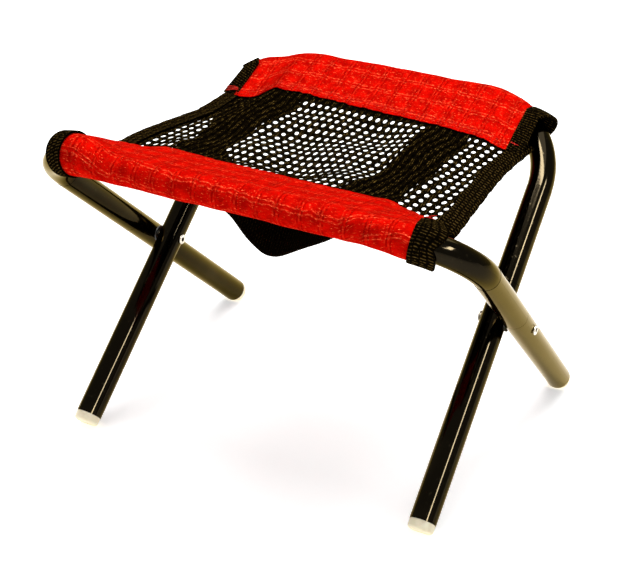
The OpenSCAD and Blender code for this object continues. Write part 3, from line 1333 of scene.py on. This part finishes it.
@dataclass(frozen=True)
class SupportStrap:
    """One half of a wide webbing strap that carries the net from below."""

    wardrobe: Wardrobe
    end: End
    side: Side
    seat: SeatShape
    edges: tuple[Point, ...]
    start_y: float = 90.0
    under: float = 1.5
    thick: float = 1.3
    step: float = 2.0
    points: int = 13

    def build(self) -> bpy.types.Object:
        """Builds and dresses this half of the strap.

        Returns:
            The piece.
        """
        y = self.end * np.linspace(self.start_y, 0.0, int(self.start_y / self.step) + 1)
        share = np.linspace(0.0, 1.0, self.points)[:: -self.side * self.end]
        place, inner, outer = zip(*self.edges)
        near, far = np.interp(y, place, inner), np.interp(y, place, outer)
        xs = self.side * (near + (far - near) * share[:, None])
        ys = np.repeat(y[None, :], self.points, axis=0)
        mid = np.stack([xs, ys, self.seat.height(xs, ys) - self.under], axis=2)
        flat = np.stack([ys, xs], axis=2)
        node = f"{self.end.label}_strap_{self.side.label}"
        # The shaded webbing paints the shade that the net casts on the strap.
        strap = Cloth.sheet(f"{node}_web", mid, flat, self.thick, self.wardrobe.shaded)
        size = (float((far - near).mean()), self.start_y)
        sew(strap, Slot.WEBBING, [node], size, Held.STRETCHED, [f"{self.end.label}_net_cloth"])
        ride_seat(strap, self.end)
        return strap


@dataclass(frozen=True)
class EdgeTape:
    """One half of the tape folded over a side edge of the net."""

    wardrobe: Wardrobe
    end: End
    side: Side
    seat: SeatShape
    start_y: float
    width: float
    under_width: float = 12.0
    thick: float = 1.1
    part: float = 1.5
    skew: float = 0.6
    edge_wave: float = 0.5
    step: float = 2.0
    top_points: int = 8
    turn_points: int = 9
    under_points: int = 6

    def section(self) -> Array:
        """The folded tape's section.

        Returns:
            How far in from the net's edge and how high over the net each point lies.
        """
        turn = np.linspace(math.pi / 2, -math.pi / 2, self.turn_points)
        top = np.linspace(self.width, 0.0, self.top_points, endpoint=False)
        under = np.linspace(0.0, self.under_width, self.under_points + 1)[1:]
        inset = np.concatenate([top, self.part * (1 - np.cos(turn)), under])
        rise = np.concatenate([top * 0 + self.part, self.part * np.sin(turn), under * 0 - self.part])
        return np.stack([inset, rise], axis=1)

    def build(self) -> bpy.types.Object:
        """Builds and dresses this half of the tape.

        Returns:
            The piece.
        """
        y = np.linspace(1.0, 0.0, int(self.start_y / self.step) + 1)[:, None]
        section = self.section()
        inset, rise = section.T
        ys = self.end * y * (self.start_y + self.skew * inset)
        edge = self.seat.half_w(self.side, ys) + self.edge_wave * ripple(ys * 4, 0.0, float(self.side))
        xs = self.side * (edge - inset)
        mid = np.stack([xs, ys, self.seat.height(xs, ys) + rise], axis=2)
        run = lengths(section)
        across = np.repeat(run[None, :], len(y), axis=0)
        turned = -self.side * self.end
        flat = np.stack([ys, across[:, ::turned]], axis=2)
        node = f"{self.end.label}_tape_{self.side.label}"
        tape = Cloth.sheet(f"{node}_web", mid[:, ::turned], flat, self.thick, self.wardrobe.tape)
        size = (float(run[-1]), self.start_y)
        sew(tape, Slot.WEBBING, [node], size, Held.FOLDED, [f"{self.end.label}_net_cloth"])
        ride_seat(tape, self.end)
        return tape


@dataclass(frozen=True)
class CarryLoop:
    """The webbing loop that hangs under the seat, for carrying; its line runs across and down."""

    wardrobe: Wardrobe
    seat: SeatShape
    under: float = 3.4
    near_y: float = -60.0
    far_y: float = -27.0
    lift: float = 10.0
    settle: float = 30.0
    thick: float = 1.3
    step: float = 2.5
    points: int = 13
    line: Outline = (
        (-84.0, 0.0), (-73.0, -0.2), (-67.0, -2.5), (-63.5, -12.0), (-58.5, -23.0), (-50.5, -32.0),
        (-41.5, -38.8), (-36.5, -44.3), (-28.5, -52.5), (-18.0, -59.5), (-11.0, -60.6), (-3.0, -58.6),
        (12.5, -49.8), (37.0, -35.5), (46.0, -24.0), (50.0, -10.0), (53.0, -1.5), (60.0, 0.0),
    )

    def path(self) -> Array:
        """A smooth curve through the loop's line.

        Returns:
            Points across and down, from one sewn end to the other.
        """
        knots = np.array(self.line)
        padded = np.concatenate([2 * knots[:1] - knots[1:2], knots, 2 * knots[-1:] - knots[-2:-1]])
        points = []
        for a, b, c, d in zip(padded, padded[1:], padded[2:], padded[3:]):
            square, cube = 2 * a - 5 * b + 4 * c - d, 3 * b - a - 3 * c + d
            count = max(2, int(np.linalg.norm(c - b) / self.step))
            for t in np.linspace(0, 1, count, endpoint=False):
                points.append(0.5 * (2 * b + (c - a) * t + square * t**2 + cube * t**3))
        return np.array(points + [knots[-1]])

    def build(self) -> bpy.types.Object:
        """Builds and dresses the loop.

        Returns:
            The piece.
        """
        path = self.path()
        run = lengths(path)
        y = np.linspace(self.near_y, self.far_y, self.points)
        xs, ys = np.meshgrid(path[:, 0], y, indexing="ij")
        flat = np.stack(np.meshgrid(run, y, indexing="ij"), axis=2)
        depth = -path[:, 1:]
        free = smooth(depth, 0.0, self.settle)
        share = (ys - self.near_y) / (self.far_y - self.near_y)
        top = self.seat.height(xs, ys) - self.under
        level = float(self.seat.height(0.0, self.near_y)) - self.under
        zs = top * (1 - free) + level * free - depth + share * free * self.lift
        mid = np.stack([xs, ys, zs], axis=2)
        # The shaded webbing paints the shade under the seat on the loop.
        loop = Cloth.sheet("carry_loop", mid, flat, self.thick, self.wardrobe.shaded)
        size = (self.far_y - self.near_y, float(run[-1]))
        straps = [f"front_strap_{side.label}_web" for side in Side]
        sew(loop, Slot.WEBBING, ["carry_strap"], size, Held.HUNG, straps)
        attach(loop, Body.SEAT_FRONT.value)
        return loop


@dataclass(frozen=True)
class Metalwork:
    """The frame's own solids: tubes, rivets, spacers and foot plugs."""

    wardrobe: Wardrobe

    def dress(self) -> None:
        """Gives each solid that stays in view its finish."""
        finishes = {
            "tube": self.wardrobe.paint, "leg": self.wardrobe.paint, "rivet": self.wardrobe.rivet,
            "spacer": self.wardrobe.spacer, "foot": self.wardrobe.foot,
        }
        for name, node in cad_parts.items():
            for word, finish in finishes.items():
                if word in name.split("_"):
                    node.data.materials.clear()
                    node.data.materials.append(finish)
                    LOG.info("dressed %s", name)


@dataclass(frozen=True)
class Seat:
    """All the sewn pieces of the seat; the two sides differ, as on the real stool."""

    wardrobe: Wardrobe
    shape: SeatShape = SeatShape()
    front_bar: BarLine = BarLine(End.FRONT, half_w=155.5, rise=2.8, bend_r=45.0)
    rear_bar: BarLine = BarLine(End.REAR, half_w=134.5, rise=-1.0, bend_r=65.0)
    front_band: HingeBand = HingeBand(Body.OUTER, Body.SEAT_FRONT, start_y=-111.0, end_y=-90.0)
    rear_band: HingeBand = HingeBand(Body.INNER, Body.SEAT_REAR, start_y=112.0, end_y=92.0)
    front_edge: Outline = (
        (-128, -72.5), (-75, -73.5), (-60, -76), (-40, -79), (0, -79.5), (30, -82), (80, -82.5), (92, -77),
        (104, -73), (128, -73),
    )
    rear_edge: Outline = (
        (-119, 71), (-109, 72), (-98, 78.5), (-60, 79.5), (0, 77.5), (50, 77), (70, 75), (82, 73),
        (109, 72.5),
    )
    strap_left: tuple[Point, ...] = ((-90, 64, 82), (0, 62.5, 97.5), (90, 61.5, 111))
    strap_right: tuple[Point, ...] = (
        (-90, 46, 83), (-20, 48, 84), (0, 48, 84.5), (30, 47.5, 82), (90, 42, 76),
    )
    front_hem: float = 84.0
    rear_hem: float = 74.0
    front_tape: float = 92.0
    rear_tape: float = 89.0
    left_tape_w: float = 13.5
    right_tape_w: float = 15.0

    def bound_covers(self) -> list[bpy.types.Object]:
        """Builds both covers and the loops that bind their ends.

        Returns:
            The pieces.
        """
        left, right = Side.LEFT, Side.RIGHT
        front = Cover(
            self.wardrobe, End.FRONT, self.front_bar, self.shape, self.front_band, self.front_edge,
            reach={left: 127.5, right: 128.5}, edge_half_w={left: 121.0, right: 110.0},
            loose={left: 4.0, right: 0.2}, loose_run=40.0, fray={left: 0, right: 2}, slack=1.2,
        )
        rear = Cover(
            self.wardrobe, End.REAR, self.rear_bar, self.shape, self.rear_band, self.rear_edge,
            reach={left: 119.0, right: 108.5}, edge_half_w={left: 120.0, right: 107.5},
            loose={left: 2.7, right: 0.2}, loose_run=24.0, fray={left: 9, right: 7},
        )
        loops = (
            Binding(front, left, width=7.5, tail_y=-98.0, tail_x=(118.0, 126.0), loose=3.8),
            Binding(front, right, width=9.5, tail_y=-79.0, tail_x=(111.0, 122.0), loose=0.5, slant=10.0),
            Binding(rear, left, width=9.0, tail_y=74.0, tail_x=(118.0, 130.5), loose=3.4),
            Binding(rear, right, width=12.5, tail_y=72.0, tail_x=(107.0, 120.0), loose=4.2),
        )
        return front.build() + rear.build() + [loop.build() for loop in loops]

    def build(self) -> list[bpy.types.Object]:
        """Builds every sewn piece.

        Returns:
            The pieces.
        """
        kit, shape = self.wardrobe, self.shape
        ends = ((End.FRONT, self.front_hem, self.front_tape), (End.REAR, self.rear_hem, self.rear_tape))
        sides = (
            (Side.LEFT, self.strap_left, self.left_tape_w),
            (Side.RIGHT, self.strap_right, self.right_tape_w),
        )
        pieces = self.bound_covers()
        for end, hem, tape in ends:
            pieces.append(NetHalf(kit, end, shape, hem).build())
            for side, edges, tape_w in sides:
                pieces.append(SupportStrap(kit, end, side, shape, edges).build())
                pieces.append(EdgeTape(kit, end, side, shape, tape, tape_w).build())
        return pieces + [CarryLoop(kit, shape).build()]


# Studio


@dataclass(frozen=True)
class Lamp:
    """A soft rectangular lamp, with its power in watts; it lights the scene or only shows in reflections."""

    name: str
    place: Point
    aim: Point
    size: tuple[float, float]
    power: float
    tall: Point = (0.0, 1.0, 0.0)
    lights: bool = True

    def build(self) -> None:
        """Adds the lamp, with its height along the direction tall."""
        data = bpy.data.lights.new(self.name, "AREA")
        data.shape = "RECTANGLE"
        data.size, data.size_y = (length * MM for length in self.size)
        data.energy = self.power
        lamp = bpy.data.objects.new(self.name, data)
        back = (Vector(self.place) - Vector(self.aim)).normalized()
        rise = Vector(self.tall)
        rise = (rise - back * rise.dot(back)).normalized()
        turn = Matrix((rise.cross(back), rise, back)).transposed().to_4x4()
        lamp.matrix_world = Matrix.Translation(Vector(self.place) * MM) @ turn
        lamp.visible_diffuse = self.lights
        bpy.context.scene.collection.objects.link(lamp)


@dataclass(frozen=True)
class Studio:
    """Camera, lights and floor."""

    azimuth: float = 28.14
    elevation: float = 27.23
    distance: float = 1139.0
    roll: float = 0.74
    target: Point = (-7.2, 6.7, 99.2)
    focal_px: float = 1531.0
    frame_px: int = 640
    sensor: float = 36.0
    clip: float = 50.0
    floor_half_w: float = 9000.0
    sky: Colour = (1.0, 1.0, 1.0, 1.0)
    sky_light: float = 0.38
    lamps: tuple[Lamp, ...] = (
        Lamp("top_lamp", (-300, 1100, 2400), (-200, 500, 0), (2600, 3600), 98.0),
        Lamp(
            "strip_lamp", (2250, -660, 1975), (0, 0, 100), (300, 1700), 110.0,
            tall=(-0.03, 0.96, 0.27), lights=False,
        ),
        Lamp("glint_lamp", (50, -480, 2350), (0, -100, 150), (1600, 250), 80.0, lights=False),
    )

    def camera(self) -> None:
        """Sets the camera at the photograph's viewing angle."""
        az, el, roll = (math.radians(angle) for angle in (self.azimuth, self.elevation, self.roll))
        back = Vector((math.sin(az) * math.cos(el), -math.cos(az) * math.cos(el), math.sin(el)))
        right = Vector((math.cos(az), math.sin(az), 0.0))
        up = back.cross(right)
        tilted = right * math.cos(roll) + up * math.sin(roll)
        upright = up * math.cos(roll) - right * math.sin(roll)
        turn = Matrix((tilted, upright, back)).transposed().to_4x4()
        data = bpy.data.cameras.new("studio_camera")
        data.sensor_fit = "HORIZONTAL"
        data.sensor_width = self.sensor
        data.lens = self.focal_px / self.frame_px * self.sensor
        data.clip_start = self.clip * MM
        camera = bpy.data.objects.new("studio_camera", data)
        place = (Vector(self.target) + back * self.distance) * MM
        camera.matrix_world = Matrix.Translation(place) @ turn
        bpy.context.scene.collection.objects.link(camera)
        bpy.context.scene.camera = camera

    def floor(self) -> None:
        """Lays the floor."""
        half = self.floor_half_w * MM
        corners = [(-half, -half, 0), (half, -half, 0), (half, half, 0), (-half, half, 0)]
        mesh = bpy.data.meshes.new("studio_floor")
        mesh.from_pydata(corners, [], [(0, 1, 2, 3)])
        mesh.materials.append(StudioFloor().make())
        floor = bpy.data.objects.new("studio_floor", mesh)
        bpy.context.scene.collection.objects.link(floor)

    def build(self) -> None:
        """Builds the studio."""
        self.camera()
        self.floor()
        world = bpy.data.worlds.new("studio_world")
        world.use_nodes = True
        background = world.node_tree.nodes["Background"]
        background.inputs["Color"].default_value = self.sky
        background.inputs["Strength"].default_value = self.sky_light
        bpy.context.scene.world = world
        bpy.context.scene.view_settings.view_transform = "Standard"
        for lamp in self.lamps:
            lamp.build()


def main() -> None:
    """Builds the studio and the stool's pieces in order."""
    logging.basicConfig(level=logging.INFO, format="%(message)s")
    Studio().build()
    wardrobe = Wardrobe()
    Metalwork(wardrobe).dress()
    for piece in Seat(wardrobe).build():
        LOG.info("built %s with %d points", piece.name, len(piece.data.vertices))


if __name__ == "__main__":
    main()
